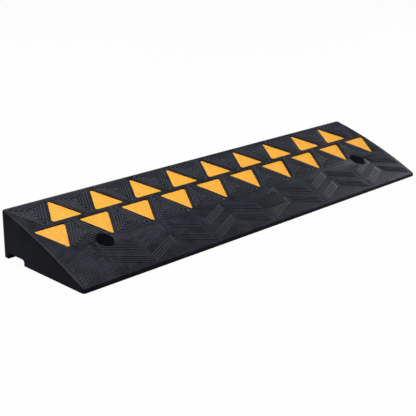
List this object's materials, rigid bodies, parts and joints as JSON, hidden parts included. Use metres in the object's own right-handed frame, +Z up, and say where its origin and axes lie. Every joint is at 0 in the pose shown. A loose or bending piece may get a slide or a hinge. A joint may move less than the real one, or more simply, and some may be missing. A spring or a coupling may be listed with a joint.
{
  "type": "rubber kerb ramp",
  "caption": "One-slope rubber ramp for a kerb, with reflective triangles set in its crowned tread, stepped bolt holes and a channel underneath.",
  "frame": {"origin": "centre of the footprint, on the road surface", "axes": "+X along the ramp and the kerb, +Y from the thin toe towards the tall back face, +Z up"},
  "size_m": [1, 0.238, 0.0923],
  "materials": {
    "rubber": "matt black moulded rubber",
    "reflective_sheet": "yellow glass-bead reflective sheet",
    "washer_steel": "zinc-plated steel"
  },
  "bodies": {
    "root": {"ramp_body": "rubber", "reflector_upper_1": "reflective_sheet", "reflector_upper_2": "reflective_sheet", "reflector_upper_3": "reflective_sheet", "reflector_upper_4": "reflective_sheet", "reflector_upper_5": "reflective_sheet", "reflector_upper_6": "reflective_sheet", "reflector_upper_7": "reflective_sheet", "reflector_upper_8": "reflective_sheet", "reflector_upper_9": "reflective_sheet", "reflector_lower_1": "reflective_sheet", "reflector_lower_2": "reflective_sheet", "reflector_lower_3": "reflective_sheet", "reflector_lower_4": "reflective_sheet", "reflector_lower_5": "reflective_sheet", "reflector_lower_6": "reflective_sheet", "reflector_lower_7": "reflective_sheet", "reflector_lower_8": "reflective_sheet", "reflector_lower_9": "reflective_sheet", "reflector_lower_10": "reflective_sheet", "bolt_washer_left": "washer_steel", "bolt_washer_right": "washer_steel"}
  },
  "joints": []
}
